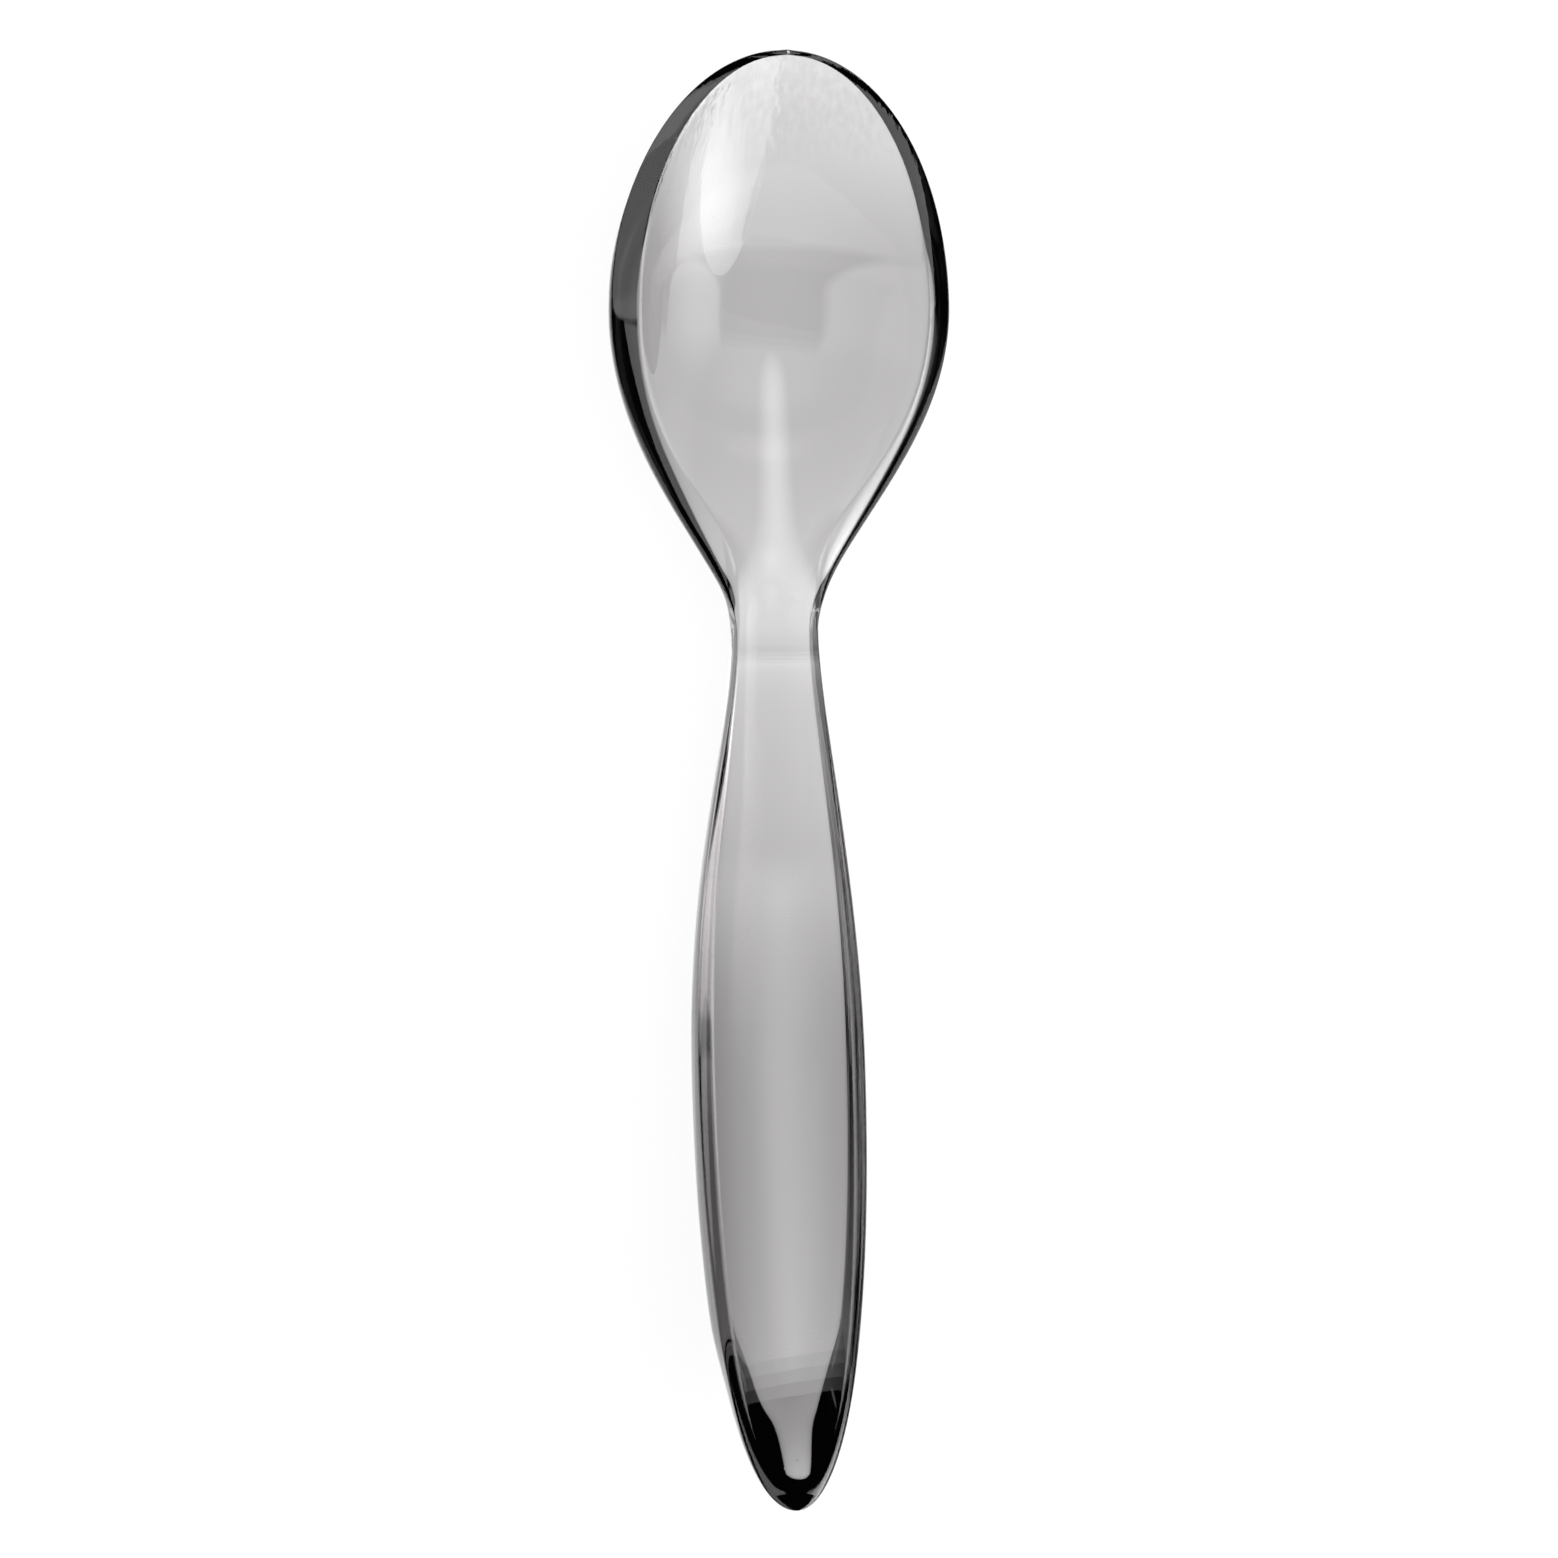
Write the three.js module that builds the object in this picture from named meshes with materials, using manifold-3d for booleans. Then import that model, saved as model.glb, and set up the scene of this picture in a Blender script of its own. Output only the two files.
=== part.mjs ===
// Egg spoon: one clear moulding, modelled as a lofted body that is parted at the thin of its neck.
// Millimetres, +Z up. The spoon lies on its back along Y with the bowl's tip at +Y.
// "along" is the distance from the tip of the bowl, measured down the length of the spoon.

import * as THREE from 'three';
import { ParametricGeometry } from 'three/addons/geometries/ParametricGeometry.js';
import { mergeVertices } from 'three/addons/utils/BufferGeometryUtils.js';
import Module from 'manifold-3d';

// Lengths down the spoon
const bowlLength = 47.8; // tip to the thin of the neck
const handleLength = 72.2; // thin of the neck to the end
const widestFromTip = 21.3; // where the bowl is widest
const deepestFromTip = 19; // where the hollow is deepest
const heelFromNeck = 6.8; // where the rim is at its lowest
const hollowFromNeck = 1.8; // where the hollow has run out
const climbFromTip = 25; // where the floor starts to climb to the handle's level
const climbPastNeck = 3.2; // where that climb ends
const climbBlend = 2.2; // softness of the bends at both ends of the climb
const liftLength = 20; // how far before the neck the underside leaves the table
const squareLength = 4.5; // how far before the neck the section starts to turn square
const softenLength = 18; // how far past the neck it is round again
const lowFromEnd = 25.5; // where the handle's sides are squarest
const gripFromEnd = 35.5; // where the handle is widest
const restFromEnd = 42; // where the handle's underside rests
const riseLength = 54; // how much of the handle leans upward
const riseBlend = 6.5; // softness of the bend where it starts to lean
const keelBlend = 8; // softness of the bend where the underside leaves the table
const noseLength = 8.3; // slanting underside at the end
const noseBlend = 1.2; // softness of the bend where that slant starts
const noseLead = 8; // how far before the slant the section starts to turn round
const endRounding = 2.6; // length over which the end rounds off

// Widths, all seen from above
const bowlWidth = 28.7;
const neckWidth = 6.95;
const gripWidth = 14.2;

// How far the top edge lies inside the widest line
const tipBand = 0.45;
const bowlBand = 1.96;
const neckBand = 0.3;
const gripBand = 1.2;
const endBand = 1.4;

// How long each outline carries on straight before it bends, beside each wide or narrow place
const heelRun = 12.4;
const neckLead = 5.9;
const rimHeelRun = 13.4;
const rimNeckLead = 7.8;
const rimEarly = 2.8; // how far before the thin of the neck the rim has drawn in
const neckRun = 8;
const gripLead = 19;
const gripRun = 22;
const endRun = 4.3;
const roundRun = 0.5523; // share of a half axis that draws a quarter of an ellipse

// Heights and thicknesses
const hollowDepth = 4.5; // at its deepest place, below the rim beside it
const floorThickness = 3.4; // plastic under the deepest place of the hollow
const tipRise = 1.1; // how far the rim climbs from there to the tip
const deckHeight = 6; // top edge along the level part of the handle
const endHeight = 12; // top edge at the handle's end
const neckThickness = 4.2;
const noseKeel = 3.5; // underside's height where the end's slant starts
const endThickness = 1.2; // edge that the slant leaves at the end
const gripCrown = 0.45; // rise of the handle's top face between its edges
const restDepth = 0.12; // height of the two small flats ground under belly and grip

// How far the widest line lies below the top edge
const tipDrop = 0.7;
const bowlDrop = 1.27;
const heelDrop = 1.25;
const neckDrop = 0.2;
const middleDrop = 0.6;
const lowDrop = 0.6;
const noseDrop = 0.45;

// Section shape: 1 is a parabola, 0.5 an ellipse, less is boxier
const tipFullness = 0.95;
const bowlFullness = 0.35;
const neckFullness = 0.12;
const middleFullness = 0.26;
const lowFullness = 0.26;
const noseFullness = 0.5;
const hollowPower = 2; // 2 is a parabola across the hollow, more is steeper at the rim
const rimRadius = 0.35; // rounding of the rim's inner edge
const bowlShoulder = 1.1; // shoulder outside the top edge: 1 is a flat slant, 2 a quarter of an ellipse
const handleShoulder = 2;

// Fineness of the faceted skin
const stationsPerRun = [20, 20, 18, 26];
const deckSteps = 20;
const shoulderSteps = 6;
const underSteps = 26;

const smokeGrey = 0x8d8a8b;
const cutMargin = 20; // how far a cutting block reaches past the spoon

// Places that follow from the sizes above
const spoonLength = bowlLength + handleLength;
const heelAt = bowlLength - heelFromNeck;
const hollowEndAt = bowlLength - hollowFromNeck;
const climbEndAt = bowlLength + climbPastNeck;
const liftAt = bowlLength - liftLength;
const squareAt = bowlLength - squareLength;
const middleAt = bowlLength + softenLength;
const lowAt = spoonLength - lowFromEnd;
const gripAt = spoonLength - gripFromEnd;
const restAt = spoonLength - restFromEnd;
const riseAt = spoonLength - riseLength;
const noseAt = spoonLength - noseLength;
const noseLeadAt = noseAt - noseLead;
const noseFullAt = noseAt + noseBlend;
const tipHeight = floorThickness + hollowDepth + tipRise;

function share(from, to, along) {
  return THREE.MathUtils.clamp((along - from) / (to - from), 0, 1);
}

function ease(from, to, along) {
  return THREE.MathUtils.smootherstep(along, from, to);
}

// Four smooth runs: tip to bowl, bowl to neck, neck to grip, grip to end. x is along, y is half the width.
function outline(line) {
  const point = (along, half) => new THREE.Vector2(along, half);
  const bowl = bowlWidth / 2 - line.bowlBand;
  const neck = neckWidth / 2 - line.neckBand;
  const grip = gripWidth / 2 - line.gripBand;
  const neckAt = bowlLength - line.early;
  const end = spoonLength - line.endBand;
  const tipReach = (widestFromTip - line.tipBand) * roundRun;
  const heelPull = point(widestFromTip + line.heelRun, bowl);
  const corners = [
    [point(line.tipBand, 0), point(line.tipBand, bowl * roundRun), point(widestFromTip - tipReach, bowl)],
    [point(widestFromTip, bowl), heelPull, point(neckAt - line.neckLead, neck)],
    [point(neckAt, neck), point(neckAt + neckRun, neck), point(gripAt - gripLead, grip)],
    [point(gripAt, grip), point(gripAt + gripRun, grip), point(end, endRun * grip / (gripWidth / 2))],
  ];
  const last = point(end, 0);
  return corners.map((run, i) => {
    const finish = i + 1 < corners.length ? corners[i + 1][0] : last;
    return new THREE.CubicBezierCurve(run[0], run[1], run[2], finish);
  });
}

function halfWidthAt(runs, along) {
  const run = runs.find((curve) => along >= curve.v0.x && along <= curve.v3.x);
  if (!run) return 0;
  let low = 0;
  let high = 1;
  for (let i = 0; i < 48; i += 1) {
    const middle = (low + high) / 2;
    if (run.getPoint(middle).x < along) low = middle;
    else high = middle;
  }
  return run.getPoint((low + high) / 2).y;
}

const sideLine = outline({
  tipBand: 0, bowlBand: 0, neckBand: 0, gripBand: 0, endBand: 0, early: 0, heelRun, neckLead,
});
const rimLine = outline({
  tipBand, bowlBand, neckBand, gripBand, endBand, early: rimEarly, heelRun: rimHeelRun, neckLead: rimNeckLead,
});

// Rounds the end off: 1 along the spoon, falling to 0 like a quarter circle at the end.
function endRound(along) {
  const into = share(spoonLength - endRounding, spoonLength, along);
  return Math.sqrt(1 - into * into);
}

// Nothing before the place, straight up after it, rounded between.
function bend(past, blend) {
  return (past + Math.hypot(past, blend)) / 2;
}

// From 0 to 1, level at the start and straight later.
function lean(from, to, blend, along) {
  const past = THREE.MathUtils.clamp(along - from, 0, to - from);
  return (Math.hypot(past, blend) - blend) / (Math.hypot(to - from, blend) - blend);
}

// Middle line of the bowl, with one slope from the deepest place up to the handle.
function floorHeight(along) {
  const up = bend(along - climbFromTip, climbBlend) - bend(along - climbEndAt, climbBlend);
  return floorThickness + (deckHeight - floorThickness) * up / (climbEndAt - climbFromTip);
}

function hollowLeft(along) {
  return hollowDepth * (1 - ease(deepestFromTip, hollowEndAt, along));
}

function edgeHeight(along) {
  const tip = tipRise * (1 - share(0, deepestFromTip, along)) ** 2;
  const rise = (endHeight - deckHeight) * lean(riseAt, spoonLength, riseBlend, along);
  return floorHeight(along) + hollowLeft(along) + tip + rise;
}

function sideDrop(along) {
  const bowl = (bowlDrop - tipDrop) * ease(0, widestFromTip, along);
  const heel = (heelDrop - bowlDrop) * ease(widestFromTip, heelAt, along);
  const neck = (neckDrop - heelDrop) * ease(heelAt, bowlLength, along);
  const middle = (middleDrop - neckDrop) * ease(bowlLength, middleAt, along);
  const low = (lowDrop - middleDrop) * ease(middleAt, lowAt, along);
  const nose = (noseDrop - lowDrop) * ease(noseLeadAt, noseFullAt, along);
  return (tipDrop + bowl + heel + neck + middle + low + nose) * endRound(along);
}

function keelHeight(along) {
  const front = (tipHeight - tipDrop + restDepth) * (1 - share(0, deepestFromTip, along)) ** 2;
  const lift = deckHeight - neckThickness + restDepth;
  const neck = lift * ease(liftAt, bowlLength, along) * (1 - ease(bowlLength, restAt, along));
  const rise = (noseKeel + restDepth) * lean(restAt, noseAt, keelBlend, along);
  const slope = (endHeight - endThickness - noseKeel) / noseLength;
  return front + neck + rise + slope * bend(along - noseAt, noseBlend) - restDepth;
}

function hollowAt(along, rim) {
  const front = 1 - (1 - share(tipBand, deepestFromTip, along)) ** 2;
  const crown = gripCrown * ease(bowlLength, gripAt, along) * (rim / (gripWidth / 2 - gripBand)) ** 2;
  return front * hollowLeft(along) - crown;
}

function fullnessAt(along) {
  const bowl = (bowlFullness - tipFullness) * ease(0, widestFromTip, along);
  const neck = (neckFullness - bowlFullness) * ease(squareAt, bowlLength, along);
  const middle = (middleFullness - neckFullness) * ease(bowlLength, middleAt, along);
  const low = (lowFullness - middleFullness) * ease(middleAt, lowAt, along);
  const nose = (noseFullness - lowFullness) * ease(noseLeadAt, noseFullAt, along);
  return tipFullness + bowl + neck + middle + low + nose;
}

// Everything that one cross section needs, at one place down the length.
function stationAt(along, half) {
  const edge = edgeHeight(along);
  const side = edge - sideDrop(along);
  const rim = Math.min(halfWidthAt(rimLine, along), half);
  return {
    along,
    half,
    edge,
    side,
    rim,
    depth: Math.max(side - keelHeight(along), 0) * endRound(along),
    hollow: hollowAt(along, rim),
    fullness: fullnessAt(along),
    roundness: bowlShoulder + (handleShoulder - bowlShoulder) * ease(widestFromTip, bowlLength, along),
  };
}

const stations = [stationAt(0, 0)];
sideLine.forEach((run, i) => {
  for (let k = 1; k <= stationsPerRun[i]; k += 1) {
    const spot = run.getPoint(k / stationsPerRun[i]);
    stations.push(stationAt(spot.x, spot.y));
  }
});

// Top face, from the left edge to the right edge: hollow in the bowl, slightly crowned on the handle.
function deckPoint(station, part) {
  const across = Math.sin((part - 0.5) * Math.PI);
  const inside = 1 - Math.abs(across) ** hollowPower;
  const narrow = Math.max(station.rim, 2 * rimRadius);
  const soft = Math.min(4 * Math.abs(station.hollow) * rimRadius / narrow ** 2, 0.5) + 1e-6;
  const sunk = (Math.hypot(inside, soft) - soft) / (Math.hypot(1, soft) - soft);
  return [station.rim * across, station.edge - station.hollow * sunk];
}

// Rounded shoulder, from the top edge (part 0) down to the widest line (part 1).
function shoulderPoint(station, part) {
  const turn = (1 - part) * Math.PI / 2;
  const out = Math.max(Math.cos(turn), 0) ** (2 / station.roundness);
  const up = Math.max(Math.sin(turn), 0) ** (2 / station.roundness);
  const x = station.rim + (station.half - station.rim) * out;
  return [x, station.side + (station.edge - station.side) * up];
}

// Underside, from the right widest line round the keel to the left one.
function underPoint(station, part) {
  const turn = (0.5 - part) * Math.PI;
  const down = station.depth * Math.abs(Math.cos(turn)) ** (2 * station.fullness);
  return [station.half * Math.sin(turn), station.side - down];
}

const ringSteps = deckSteps + 2 * shoulderSteps + underSteps;

function ringPoint(station, step) {
  const right = step - deckSteps;
  const under = right - shoulderSteps;
  const left = under - underSteps;
  if (right <= 0) return deckPoint(station, step / deckSteps);
  if (under <= 0) return shoulderPoint(station, right / shoulderSteps);
  if (left <= 0) return underPoint(station, under / underSteps);
  const [x, z] = shoulderPoint(station, 1 - left / shoulderSteps);
  return [-x, z];
}

function mouldingGeometry() {
  const lastStation = stations.length - 1;
  const place = (u, v, target) => {
    const station = stations[lastStation - Math.round(v * lastStation)];
    const [x, z] = ringPoint(station, Math.round(u * ringSteps) % ringSteps);
    target.set(x, spoonLength / 2 - station.along, z);
  };
  return new ParametricGeometry(place, ringSteps, lastStation);
}

const wasm = await Module();
wasm.setup();

// Welds a three.js geometry into a closed solid and leaves out the triangles that have shrunk to a line.
function toSolid(geometry) {
  const bare = geometry.clone();
  bare.deleteAttribute('normal');
  bare.deleteAttribute('uv');
  const welded = mergeVertices(bare, 1e-4);
  const corners = welded.index.array;
  const kept = [];
  for (let i = 0; i < corners.length; i += 3) {
    const [a, b, c] = [corners[i], corners[i + 1], corners[i + 2]];
    if (a !== b && b !== c && c !== a) kept.push(a, b, c);
  }
  return new wasm.Manifold(new wasm.Mesh({
    numProp: 3,
    vertProperties: Float32Array.from(welded.attributes.position.array),
    triVerts: Uint32Array.from(kept),
  }));
}

function toGeometry(solid) {
  const mesh = solid.getMesh();
  const geometry = new THREE.BufferGeometry();
  geometry.setAttribute('position', new THREE.BufferAttribute(mesh.vertProperties, 3));
  geometry.setIndex(new THREE.BufferAttribute(mesh.triVerts, 1));
  geometry.computeVertexNormals();
  return geometry;
}

// A block that takes in the whole spoon between two places along Y, above or below the table.
function block(fromY, toY, fromZ, toZ) {
  const width = bowlWidth + 2 * cutMargin;
  const geometry = new THREE.BoxGeometry(width, toY - fromY, toZ - fromZ);
  geometry.translate(0, (fromY + toY) / 2, (fromZ + toZ) / 2);
  return toSolid(geometry);
}

const frontY = spoonLength / 2 + cutMargin;
const backY = -spoonLength / 2 - cutMargin;
const neckY = spoonLength / 2 - bowlLength;
const topZ = tipHeight + endHeight + cutMargin;

const table = block(backY, frontY, -cutMargin, 0);
const moulding = toSolid(mouldingGeometry()).subtract(table);

function part(name, solid) {
  const material = new THREE.MeshStandardMaterial({
    color: smokeGrey, roughness: 0.06, metalness: 0, transparent: true, opacity: 0.45,
  });
  const mesh = new THREE.Mesh(toGeometry(solid), material);
  mesh.name = name;
  return mesh;
}

const spoon = new THREE.Group();
spoon.name = 'egg_spoon';
spoon.add(part('bowl', moulding.intersect(block(neckY, frontY, -cutMargin, topZ))));
spoon.add(part('handle', moulding.intersect(block(backY, neckY, -cutMargin, topZ))));

export default spoon;
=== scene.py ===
import math

import bpy
from mathutils import Matrix, Vector
from mathutils.geometry import interpolate_bezier


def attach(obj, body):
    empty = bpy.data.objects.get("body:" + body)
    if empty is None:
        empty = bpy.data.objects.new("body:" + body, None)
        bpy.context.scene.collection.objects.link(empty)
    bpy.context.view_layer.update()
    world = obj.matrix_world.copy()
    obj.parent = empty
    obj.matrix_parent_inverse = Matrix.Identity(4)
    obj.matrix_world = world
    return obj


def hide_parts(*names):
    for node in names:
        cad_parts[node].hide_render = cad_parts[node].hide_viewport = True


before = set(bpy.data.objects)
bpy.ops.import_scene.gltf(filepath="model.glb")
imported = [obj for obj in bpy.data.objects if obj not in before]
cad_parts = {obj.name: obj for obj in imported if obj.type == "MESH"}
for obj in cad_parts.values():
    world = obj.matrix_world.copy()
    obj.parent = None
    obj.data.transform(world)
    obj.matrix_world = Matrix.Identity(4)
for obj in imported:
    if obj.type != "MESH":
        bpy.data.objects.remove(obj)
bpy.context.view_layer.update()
print("frame loaded:", sorted(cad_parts))

mm = 0.001  # the drawing is in millimetres, the scene in metres

# Sizes of the moulding in millimetres, "along" counts from the bowl's tip
size = {
    "bowlLength": 47.8, "handleLength": 72.2,
    "widestFromTip": 21.3, "deepestFromTip": 19, "heelFromNeck": 6.8, "hollowFromNeck": 1.8,
    "climbFromTip": 25, "climbPastNeck": 3.2, "climbBlend": 2.2,
    "liftLength": 20, "squareLength": 4.5, "softenLength": 18,
    "lowFromEnd": 25.5, "gripFromEnd": 35.5, "restFromEnd": 42, "riseLength": 54,
    "noseLength": 8.3, "noseBlend": 1.2, "noseLead": 8, "endRounding": 2.6,
    "bowlWidth": 28.7, "neckWidth": 6.95, "gripWidth": 14.2,
    "hollowDepth": 4.5, "floorThickness": 3.4, "tipRise": 1.1, "deckHeight": 6,
    "endHeight": 12, "neckThickness": 4.2, "noseKeel": 3.5, "endThickness": 1.2,
    "gripCrown": 0.45, "riseBlend": 6.5, "keelBlend": 8, "hollowPower": 2, "rimRadius": 0.35,
    "bowlShoulder": 1.1, "handleShoulder": 2,
    "drop": {"tip": 0.7, "bowl": 1.27, "heel": 1.25, "neck": 0.2, "middle": 0.6, "low": 0.6, "nose": 0.45},
    "fullness": {"tip": 0.95, "bowl": 0.35, "neck": 0.12, "middle": 0.26, "low": 0.26, "nose": 0.5},
    "side": {"tipBand": 0, "bowlBand": 0, "neckBand": 0, "gripBand": 0, "endBand": 0, "early": 0,
             "heelRun": 12.4, "neckLead": 5.9},
    "rim": {"tipBand": 0.45, "bowlBand": 1.96, "neckBand": 0.3, "gripBand": 1.2, "endBand": 1.4, "early": 2.8,
            "heelRun": 13.4, "neckLead": 7.8},
    "neckRun": 8, "gripLead": 19, "gripRun": 22, "endRun": 4.3, "roundRun": 0.5523,
    "stationsPerRun": (48, 52, 48, 64), "deckSteps": 56, "shoulderSteps": 16, "underSteps": 72,
    "rimSteps": 600,  # points on each run of the rim line
    "softest": 0.5,  # most that the inner edge of the rim is rounded
    "weld": 0.004,  # points closer than this are one
}

spoonLength = size["bowlLength"] + size["handleLength"]
tipHeight = size["floorThickness"] + size["hollowDepth"] + size["tipRise"]
heelAt = size["bowlLength"] - size["heelFromNeck"]
gripAt = spoonLength - size["gripFromEnd"]
middleAt = size["bowlLength"] + size["softenLength"]
lowAt = spoonLength - size["lowFromEnd"]
noseAt = spoonLength - size["noseLength"]


def share(start, end, along):
    return min(max((along - start) / (end - start), 0), 1)


def ease(start, end, along):
    s = share(start, end, along)
    return s ** 3 * (s * (6 * s - 15) + 10)


def outline(line):  # four smooth runs: tip to bowl, bowl to neck, neck to grip, grip to end
    bowl = size["bowlWidth"] / 2 - line["bowlBand"]
    neck = size["neckWidth"] / 2 - line["neckBand"]
    grip = size["gripWidth"] / 2 - line["gripBand"]
    tip, wide = line["tipBand"], size["widestFromTip"]
    neckAt, end = size["bowlLength"] - line["early"], spoonLength - line["endBand"]
    reach = (wide - tip) * size["roundRun"]
    endRun = size["endRun"] * grip / (size["gripWidth"] / 2)
    return [
        ((tip, 0), (tip, bowl * size["roundRun"]), (wide - reach, bowl), (wide, bowl)),
        ((wide, bowl), (wide + line["heelRun"], bowl), (neckAt - line["neckLead"], neck), (neckAt, neck)),
        ((neckAt, neck), (neckAt + size["neckRun"], neck), (gripAt - size["gripLead"], grip), (gripAt, grip)),
        ((gripAt, grip), (gripAt + size["gripRun"], grip), (end, endRun), (end, 0)),
    ]


def runPoints(run, count):
    return interpolate_bezier(*(Vector(corner) for corner in run), count + 1)


rimSamples = [point for run in outline(size["rim"]) for point in runPoints(run, size["rimSteps"])]


def rimAt(along):
    for before, after in zip(rimSamples, rimSamples[1:]):
        if before.x <= along <= after.x and after.x > before.x:
            return before.y + (after.y - before.y) * (along - before.x) / (after.x - before.x)
    return 0


def alongTheSpoon(values, places):  # goes from each value to the next one between its two places
    def at(along):
        total = values[0]
        for before, after, (start, end) in zip(values, values[1:], places):
            total += (after - before) * ease(start, end, along)
        return total
    return at


nosePlaces = (noseAt - size["noseLead"], noseAt + size["noseBlend"])
dropAt = alongTheSpoon(list(size["drop"].values()), [
    (0, size["widestFromTip"]), (size["widestFromTip"], heelAt), (heelAt, size["bowlLength"]),
    (size["bowlLength"], middleAt), (middleAt, lowAt), nosePlaces])
fullnessAt = alongTheSpoon(list(size["fullness"].values()), [
    (0, size["widestFromTip"]), (size["bowlLength"] - size["squareLength"], size["bowlLength"]),
    (size["bowlLength"], middleAt), (middleAt, lowAt), nosePlaces])


def bend(past, blend):  # nothing before the place, straight up after it, rounded between
    return (past + math.hypot(past, blend)) / 2


def lean(along, start, end, blend):  # from 0 to 1, level at the start and straight later
    past = min(max(along - start, 0), end - start)
    return (math.hypot(past, blend) - blend) / (math.hypot(end - start, blend) - blend)


def floorAt(along):  # the middle line of the bowl, one slope from the deepest place up to the handle
    start, end = size["climbFromTip"], size["bowlLength"] + size["climbPastNeck"]
    up = bend(along - start, size["climbBlend"]) - bend(along - end, size["climbBlend"])
    return size["floorThickness"] + (size["deckHeight"] - size["floorThickness"]) * up / (end - start)


def hollowLeft(along):  # depth of the hollow, less and less towards the neck
    end = size["bowlLength"] - size["hollowFromNeck"]
    return size["hollowDepth"] * (1 - ease(size["deepestFromTip"], end, along))


def edgeAt(along):
    tip = size["tipRise"] * (1 - share(0, size["deepestFromTip"], along)) ** 2
    rise = lean(along, spoonLength - size["riseLength"], spoonLength, size["riseBlend"])
    return floorAt(along) + hollowLeft(along) + tip + (size["endHeight"] - size["deckHeight"]) * rise


def keelAt(along):
    restAt = spoonLength - size["restFromEnd"]
    front = (tipHeight - size["drop"]["tip"]) * (1 - share(0, size["deepestFromTip"], along)) ** 2
    lift = size["deckHeight"] - size["neckThickness"]
    lift *= ease(size["bowlLength"] - size["liftLength"], size["bowlLength"], along)
    lift *= 1 - ease(size["bowlLength"], restAt, along)
    rise = size["noseKeel"] * lean(along, restAt, noseAt, size["keelBlend"])
    slope = (size["endHeight"] - size["endThickness"] - size["noseKeel"]) / size["noseLength"]
    return front + lift + rise + slope * bend(along - noseAt, size["noseBlend"])


def hollowAt(along, rim):
    front = 1 - (1 - share(size["rim"]["tipBand"], size["deepestFromTip"], along)) ** 2
    fullRim = size["gripWidth"] / 2 - size["rim"]["gripBand"]
    crown = size["gripCrown"] * ease(size["bowlLength"], gripAt, along) * (rim / fullRim) ** 2
    return front * hollowLeft(along) - crown


def sectionRing(along, half):  # one cross section, from the left edge over the deck and round the underside
    rim = min(rimAt(along), half)
    into = share(spoonLength - size["endRounding"], spoonLength, along)
    endRound = math.sqrt(1 - into * into)
    edge = edgeAt(along)
    side = edge - dropAt(along) * endRound
    depth = max(side - keelAt(along), 0) * endRound
    hollow = hollowAt(along, rim)
    narrow = max(rim, 2 * size["rimRadius"])
    soft = min(4 * abs(hollow) * size["rimRadius"] / narrow ** 2, size["softest"]) + 1e-6
    fullness = fullnessAt(along)
    roundness = size["bowlShoulder"]
    roundness += (size["handleShoulder"] - roundness) * ease(size["widestFromTip"], size["bowlLength"], along)
    ring = []
    for k in range(size["deckSteps"] + 1):
        across = math.sin((k / size["deckSteps"] - 0.5) * math.pi)
        inside = 1 - abs(across) ** size["hollowPower"]
        sunk = (math.hypot(inside, soft) - soft) / (math.hypot(1, soft) - soft)
        ring.append((rim * across, edge - hollow * sunk))
    shoulder = []
    for k in range(1, size["shoulderSteps"] + 1):
        turn = (1 - k / size["shoulderSteps"]) * math.pi / 2
        out = max(math.cos(turn), 0) ** (2 / roundness)
        up = max(math.sin(turn), 0) ** (2 / roundness)
        shoulder.append((rim + (half - rim) * out, side + (edge - side) * up))
    ring += shoulder
    for k in range(1, size["underSteps"]):
        turn = (0.5 - k / size["underSteps"]) * math.pi
        ring.append((half * math.sin(turn), side - depth * abs(math.cos(turn)) ** (2 * fullness)))
    ring += [(-x, z) for x, z in reversed(shoulder)]
    return ring


def deselectAll():
    bpy.ops.object.select_all(action="DESELECT")


def makeMoulding():
    stations = [Vector((0, 0))]
    for run, count in zip(outline(size["side"]), size["stationsPerRun"]):
        stations += runPoints(run, count)[1:]
    rings = [sectionRing(*station) for station in stations]
    ringSteps = len(rings[0])
    print("moulding:", len(rings), "sections of", ringSteps, "points")
    # a plain tube first: a ring of points drawn out once for each section
    deselectAll()
    pitch = spoonLength * mm / (len(rings) - 1)
    bpy.ops.mesh.primitive_circle_add(vertices=ringSteps, radius=size["bowlWidth"] / 2 * mm,
                                      rotation=(math.pi / 2, 0, 0))
    spoon = bpy.context.object
    spoon.name = spoon.data.name = "spoon_moulding"
    bpy.ops.object.transform_apply(location=False, rotation=True, scale=False)
    bpy.ops.object.mode_set(mode="EDIT")
    bpy.ops.mesh.select_all(action="SELECT")
    bpy.ops.mesh.extrude_repeat(steps=len(rings) - 1, offset=(0, -pitch, 0))
    bpy.ops.object.mode_set(mode="OBJECT")
    # then each ring is drawn to its section and set at its place
    for vertex in spoon.data.vertices:
        station = round(-vertex.co.y / pitch)
        turn = math.atan2(vertex.co.x, vertex.co.z) / (2 * math.pi)
        x, z = rings[station][round(turn * ringSteps) % ringSteps]
        vertex.co = (x * mm, (spoonLength / 2 - stations[station].x) * mm, z * mm)
    bpy.ops.object.mode_set(mode="EDIT")
    bpy.ops.mesh.select_all(action="SELECT")
    bpy.ops.mesh.remove_doubles(threshold=size["weld"] * mm)
    bpy.ops.mesh.normals_make_consistent(inside=False)
    bpy.ops.object.mode_set(mode="OBJECT")
    bpy.ops.object.shade_smooth()
    print("moulding:", len(spoon.data.polygons), "faces")
    return spoon


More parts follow.
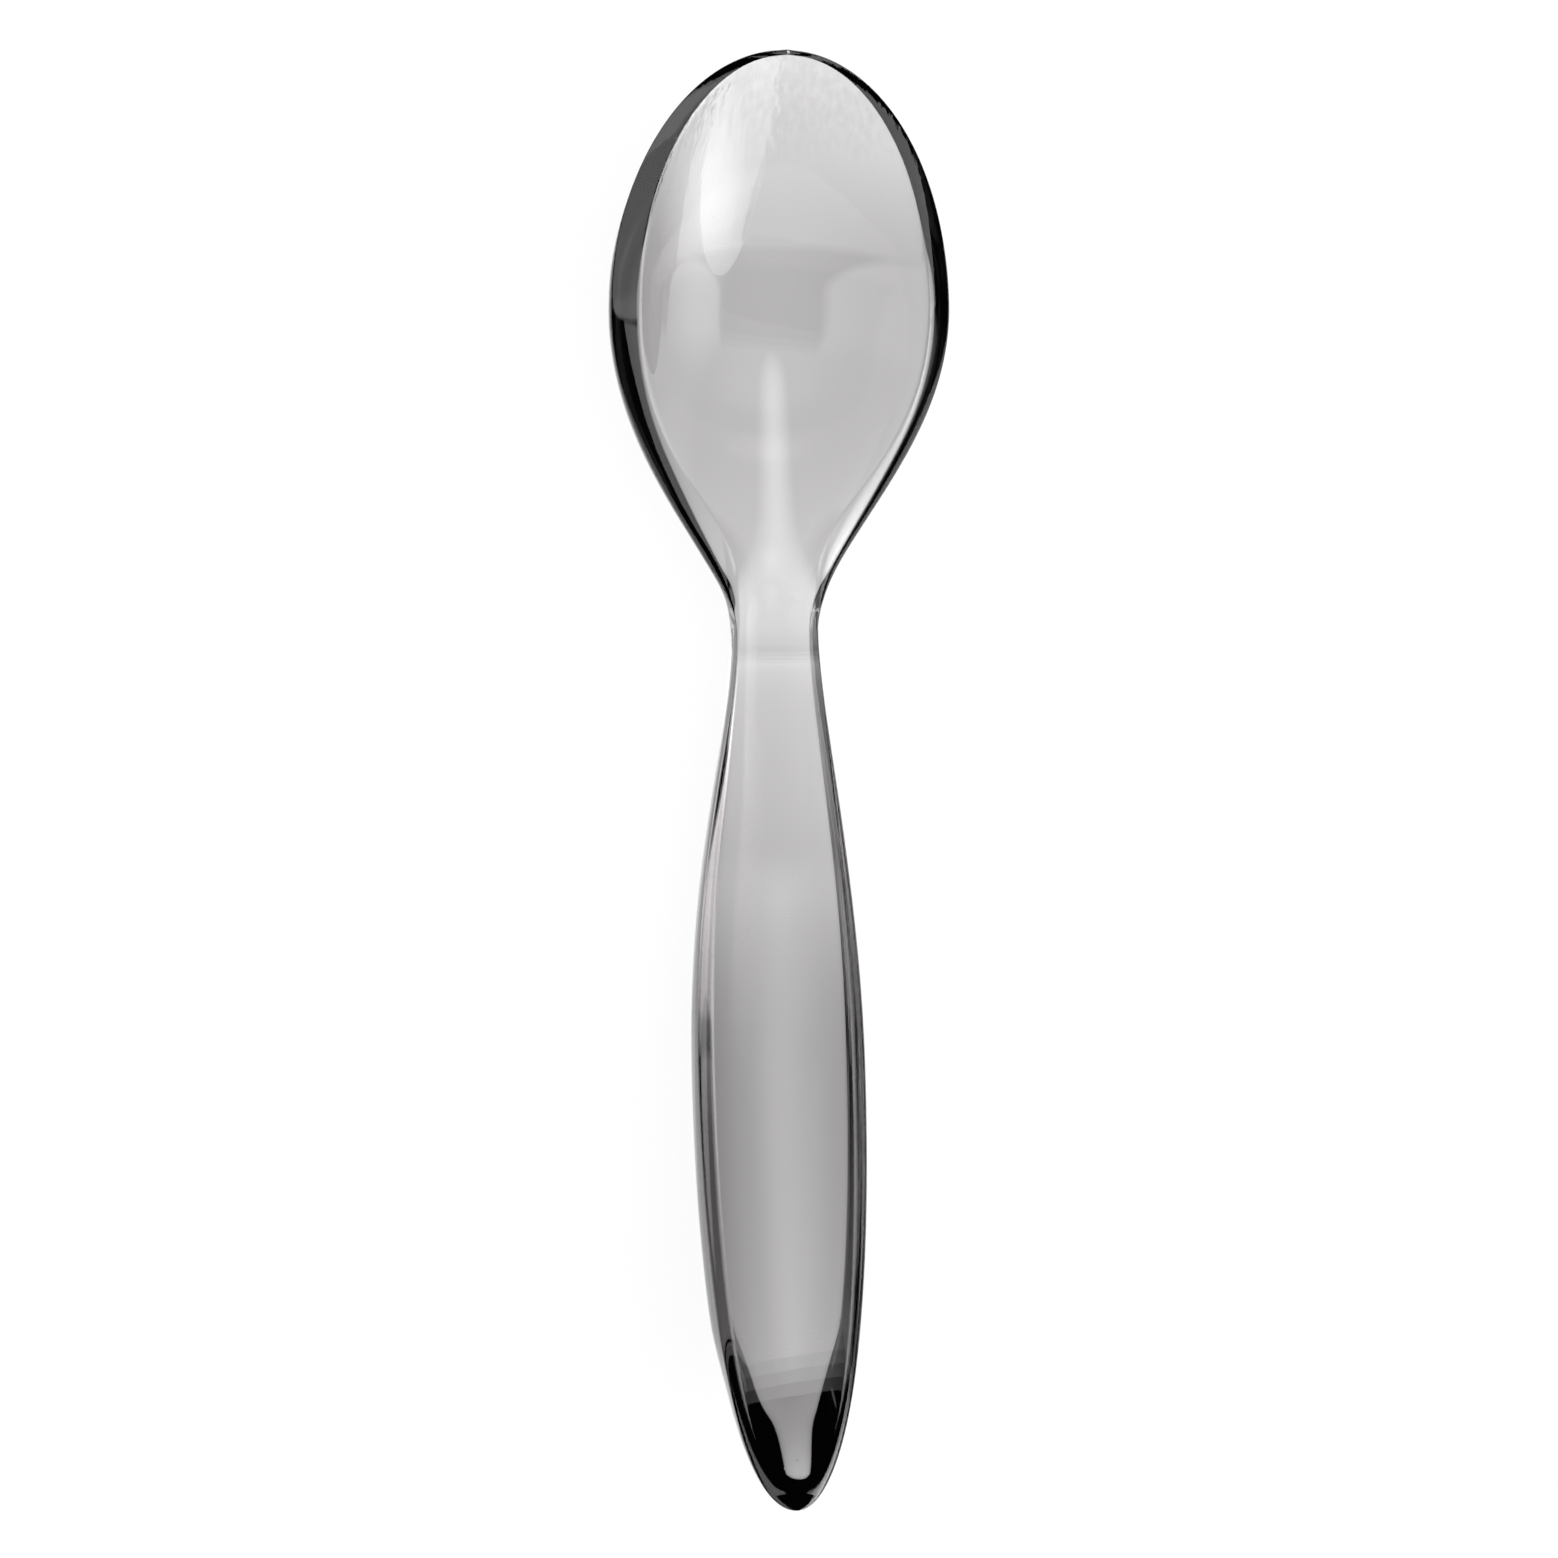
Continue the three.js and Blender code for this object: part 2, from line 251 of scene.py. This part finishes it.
def linear(hexColour):
    channels = [int(hexColour[i:i + 2], 16) / 255 for i in (1, 3, 5)]
    return [c / 12.92 if c <= 0.04045 else ((c + 0.055) / 1.055) ** 2.4 for c in channels] + [1]


def addNode(tree, kind, values=None, links=None, **settings):
    node = tree.nodes.new(kind)
    for name, value in settings.items():
        setattr(node, name, value)
    for socket, value in (values or {}).items():
        node.inputs[socket].default_value = value
    for socket, source in (links or {}).items():
        tree.links.new(source, node.inputs[socket])
    return node


# Clear polystyrene with a little smoke pigment, injection moulded in a polished tool:
# glossy and see-through, and darkest where a look through it is long
smokePlastic = {
    "skin": "#fbfafa",
    "mark": "#d6d4d4",  # skin in the flow lines and dust pits
    "markShare": 0.5,  # how far a flow line goes to that colour
    "smoke": "#949192",  # what is left of white light after the smoke depth below
    "smokeDensity": 225,
    "ior": 1.58,
    "roughness": (0.0, 0.015),
    "hazePatch": 7,  # mm across a patch of duller skin
    "hazeFrom": (0.45, 0.8),  # where in the pattern it starts and is full
    "streak": (0.5, 9),  # mm across and along the faint flow lines at the tip
    "streakFade": (46, 57),  # mm towards the tip from the middle of the spoon
    "streakDepth": 0.03,  # mm
    "streakFrom": (0.25, 0.7),
    "speck": 1.6,  # mm between dust pits, drawn coarser than real ones so that they show
    "speckSize": 0.07, "speckDepth": 0.04,  # mm
}


def clearSmokePolystyrene():
    look = smokePlastic
    material = bpy.data.materials.new("polystyrene_clear_smoke_moulded")
    material.use_nodes = True
    tree = material.node_tree
    tree.nodes.clear()
    place = addNode(tree, "ShaderNodeTexCoord").outputs["Object"]
    haze = addNode(tree, "ShaderNodeTexNoise", {"Scale": 1 / (look["hazePatch"] * mm), "Detail": 3},
                   {"Vector": place})
    gloss = addNode(tree, "ShaderNodeMapRange",
                    {"From Min": look["hazeFrom"][0], "From Max": look["hazeFrom"][1],
                     "To Min": look["roughness"][0], "To Max": look["roughness"][1]},
                    {"Value": haze.outputs["Fac"]})
    across, along = look["streak"]
    drawn = addNode(tree, "ShaderNodeMapping", {"Scale": (1 / across / mm, 1 / along / mm, 1 / across / mm)},
                    {"Vector": place})
    flow = addNode(tree, "ShaderNodeTexNoise", {"Scale": 1, "Detail": 2}, {"Vector": drawn.outputs["Vector"]})
    spot = addNode(tree, "ShaderNodeSeparateXYZ", links={"Vector": place})
    nearTip = addNode(tree, "ShaderNodeMapRange",
                      {"From Min": look["streakFade"][0] * mm, "From Max": look["streakFade"][1] * mm},
                      {"Value": spot.outputs["Y"]}, interpolation_type="SMOOTHSTEP")
    ripple = addNode(tree, "ShaderNodeMath", links={0: flow.outputs["Fac"], 1: nearTip.outputs["Result"]},
                     operation="MULTIPLY")
    flowBump = addNode(tree, "ShaderNodeBump", {"Strength": 1, "Distance": look["streakDepth"] * mm},
                       {"Height": ripple.outputs[0]})
    specks = addNode(tree, "ShaderNodeTexVoronoi", {"Scale": 1 / (look["speck"] * mm)}, {"Vector": place})
    pit = addNode(tree, "ShaderNodeMapRange", {"From Min": 0, "From Max": look["speckSize"] / look["speck"]},
                  {"Value": specks.outputs["Distance"]}, interpolation_type="SMOOTHSTEP")
    dust = addNode(tree, "ShaderNodeBump", {"Strength": 1, "Distance": look["speckDepth"] * mm},
                   {"Height": pit.outputs["Result"], "Normal": flowBump.outputs["Normal"]})
    lines = addNode(tree, "ShaderNodeMapRange",
                    {"From Min": look["streakFrom"][0], "From Max": look["streakFrom"][1],
                     "To Max": look["markShare"]}, {"Value": ripple.outputs[0]})
    pits = addNode(tree, "ShaderNodeMath", {0: 1}, {1: pit.outputs["Result"]}, operation="SUBTRACT")
    marks = addNode(tree, "ShaderNodeMath", links={0: lines.outputs["Result"], 1: pits.outputs[0]},
                    operation="MAXIMUM")
    skin = addNode(tree, "ShaderNodeMix", {6: linear(look["skin"]), 7: linear(look["mark"])},
                   {0: marks.outputs[0]}, data_type="RGBA")  # sockets 6 and 7 are its two colours
    body = addNode(tree, "ShaderNodeBsdfPrincipled", {"Transmission Weight": 1, "IOR": look["ior"]},
                   {"Base Color": skin.outputs[2], "Roughness": gloss.outputs["Result"],
                    "Normal": dust.outputs["Normal"]})
    smoke = addNode(tree, "ShaderNodeVolumeAbsorption",
                    {"Color": linear(look["smoke"]), "Density": look["smokeDensity"]})
    addNode(tree, "ShaderNodeOutputMaterial",
            links={"Surface": body.outputs["BSDF"], "Volume": smoke.outputs["Volume"]})
    return material


# White table and white surroundings, plain soft studio light
studio = {
    "table": 0.2,  # m across
    "paper": "#f4f4f4",
    "glow": 0.92,  # share of the paper that is plain white to the eye; the rest takes the shadow
    "dark": 0.02,  # the unlit room round the table
    "past": 0.88,  # share of the looks turned inside the plastic for which the paper is drawn black: painted shade standing in for a dark room and the shadow by the spoon's edges
    # place, what it faces, width and height in metres, brightness beside white paper, beam in degrees,
    # and how far both ends of its height fade out, in metres
    "lamps": {
        "softbox_right": ((0.613, -0.51, 0.666), (-0.193, -0.225, 0.146), 0.68, 1.16, 1.6, 180, 0),
        "softbox_core": ((0.732, -0.51, 0.481), (-0.073, -0.225, -0.039), 1.1, 1.5, 4.4, 50, 0),
        "card_left": ((-0.58, 0.57, 0.58), (0, 0, 0), 0.4, 0.4, 0.8, 180, 0),
        "strip_over_handle": ((0.033, -0.002, 0.12), (0.003, -0.0221, 0), 0.1, 0.058, 5.3, 34, 0.006),
        "strip_over_neck": ((0.03, 0.0403, 0.12), (0, 0.007, 0), 0.055, 0.039, 5, 18, 0.008),
        "panel_over_tip": ((0.25, 0.365, 0.32), (0.25, 0.365, 0), 1.9, 0.6, 1.6, 180, 0.02),
        "round_panel_left": ((-0.4, 0.2, 0.32), (-0.4, 0.2, 0), 0.92, 0.4, 1.6, 180, 0.02),
        "round_panel_right": ((0.653, 0.2, 0.32), (0.653, 0.2, 0), 0.98, 0.4, 1.6, 180, 0.02),
        "panel_over_end": ((0.65, -0.84, 0.9), (0.65, -0.84, 0), 3.7, 1.5, 1.6, 180, 0.05),
    },
    "roundLamps": ("softbox_right", "softbox_core", "round_panel_left", "round_panel_right"),
    "fadeSteps": 4,  # frames in a fading lamp; many more aren't all seen where two lamps overlap
    "frameGap": 0.0004,  # m between the frames of one lamp
}


def lightStudio():
    for name, (place, target, width, height, brightness, beam, fade) in studio["lamps"].items():
        steps = studio["fadeSteps"] if fade else 1
        half = math.radians(beam) / 2
        narrowing = 1 - half / math.tan(half)  # a narrow beam is brighter along its middle
        back = (Vector(place) - Vector(target)).normalized()
        side = Vector((0, 1, 0)).cross(back).normalized()
        turn = Matrix((side, back.cross(side), back)).transposed().to_euler()
        for step in range(steps):  # frames laid one in the other, so that the ends fade
            length = height + fade * (1 - (2 * step + 1) / steps)
            deselectAll()
            spot = Vector(place) + back * studio["frameGap"] * step
            bpy.ops.object.light_add(type="AREA", location=spot, rotation=turn)
            lamp = bpy.context.object
            lamp.name = lamp.data.name = name
            lamp.data.shape = "ELLIPSE" if name in studio["roundLamps"] else "RECTANGLE"
            lamp.data.size = width
            lamp.data.size_y = length
            lamp.data.spread = math.radians(beam)
            lamp.data.energy = brightness / steps * math.pi * width * length * narrowing
    print("studio:", len(studio["lamps"]), "lamps")


def seenRays(tree, kinds):  # 1 for the kinds of ray that look at the white surroundings
    path = addNode(tree, "ShaderNodeLightPath")
    seen = path.outputs[kinds[0]]
    for kind in kinds[1:]:
        seen = addNode(tree, "ShaderNodeMath", links={0: seen, 1: path.outputs[kind]},
                       operation="MAXIMUM").outputs[0]
    return seen


def makeTable():
    deselectAll()
    bpy.ops.mesh.primitive_plane_add(size=studio["table"])
    table = bpy.context.object
    table.name = table.data.name = "table"
    material = bpy.data.materials.new("paper_white_matt_painted_shade")
    material.use_nodes = True
    tree = material.node_tree
    tree.nodes.clear()
    paper = addNode(tree, "ShaderNodeBsdfDiffuse", {"Color": linear(studio["paper"])})
    white = addNode(tree, "ShaderNodeEmission", {"Strength": 1})
    seen = seenRays(tree, ["Is Camera Ray", "Is Glossy Ray", "Is Transmission Ray"])
    glow = addNode(tree, "ShaderNodeMath", {1: studio["glow"]}, {0: seen}, operation="MULTIPLY")
    mix = addNode(tree, "ShaderNodeMixShader",
                  links={0: glow.outputs[0], 1: paper.outputs[0], 2: white.outputs[0]})
    # Painted shade: for looks that went into the plastic and were turned inside it, the paper is mostly drawn
    # black, which darkens the spoon's edge bands
    path = addNode(tree, "ShaderNodeLightPath")
    entered = addNode(tree, "ShaderNodeMath", {1: 1}, {0: path.outputs["Transmission Depth"]},
                      operation="MINIMUM")
    turned = addNode(tree, "ShaderNodeMath", {1: 1}, {0: path.outputs["Glossy Depth"]}, operation="MINIMUM")
    inside = addNode(tree, "ShaderNodeMath", links={0: entered.outputs[0], 1: turned.outputs[0]},
                     operation="MULTIPLY")
    past = addNode(tree, "ShaderNodeMath", {1: studio["past"]}, {0: inside.outputs[0]}, operation="MULTIPLY")
    darkRoomAndPaintedShade = addNode(tree, "ShaderNodeBsdfDiffuse", {"Color": (0, 0, 0, 1)})
    paperWithPaintedShade = addNode(tree, "ShaderNodeMixShader",
                    links={0: past.outputs[0], 1: mix.outputs[0], 2: darkRoomAndPaintedShade.outputs[0]})
    addNode(tree, "ShaderNodeOutputMaterial", links={"Surface": paperWithPaintedShade.outputs[0]})
    table.data.materials.append(material)
    return table


def makeWorld():
    world = bpy.data.worlds.new("studio_room")
    bpy.context.scene.world = world
    world.use_nodes = True
    tree = world.node_tree
    tree.nodes.clear()
    darkRoomAndPaintedShade = addNode(tree, "ShaderNodeBackground", {"Strength": studio["dark"]})
    white = addNode(tree, "ShaderNodeBackground", {"Color": (1, 1, 1, 1), "Strength": 1})
    seen = seenRays(tree, ["Is Camera Ray"])
    mix = addNode(tree, "ShaderNodeMixShader", links={0: seen, 1: darkRoomAndPaintedShade.outputs[0], 2: white.outputs[0]})
    addNode(tree, "ShaderNodeOutputWorld", links={"Surface": mix.outputs[0]})


# Camera straight over the spoon, tipped a little to its left
view = {
    "tip": 14,  # degrees to the left
    "distance": 1.0,
    "aim": (0, 0, 0.006),
    "sensor": 36,  # mm
    "frame": 1558, "spoonInFrame": 1455,  # pixels
}


def placeCamera():
    tip = math.radians(view["tip"])
    aim = Vector(view["aim"])
    back = Vector((-math.sin(tip), 0, math.cos(tip)))
    up = Vector((0, 1, 0))
    deselectAll()
    bpy.ops.object.camera_add(location=aim + back * view["distance"])
    camera = bpy.context.object
    camera.rotation_euler = Matrix((up.cross(back), up, back)).transposed().to_euler()
    camera.data.sensor_width = view["sensor"]
    frameWidth = view["frame"] / view["spoonInFrame"] * spoonLength * mm
    camera.data.lens = view["sensor"] * view["distance"] / frameWidth
    bpy.context.scene.camera = camera
    print("camera: frame", round(frameWidth / mm, 1), "mm wide")


spoon = makeMoulding()
spoon.data.materials.append(clearSmokePolystyrene())
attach(spoon, "root")
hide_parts("bowl", "handle")

makeTable()
makeWorld()
lightStudio()
placeCamera()
bpy.context.scene.view_settings.view_transform = "Standard"
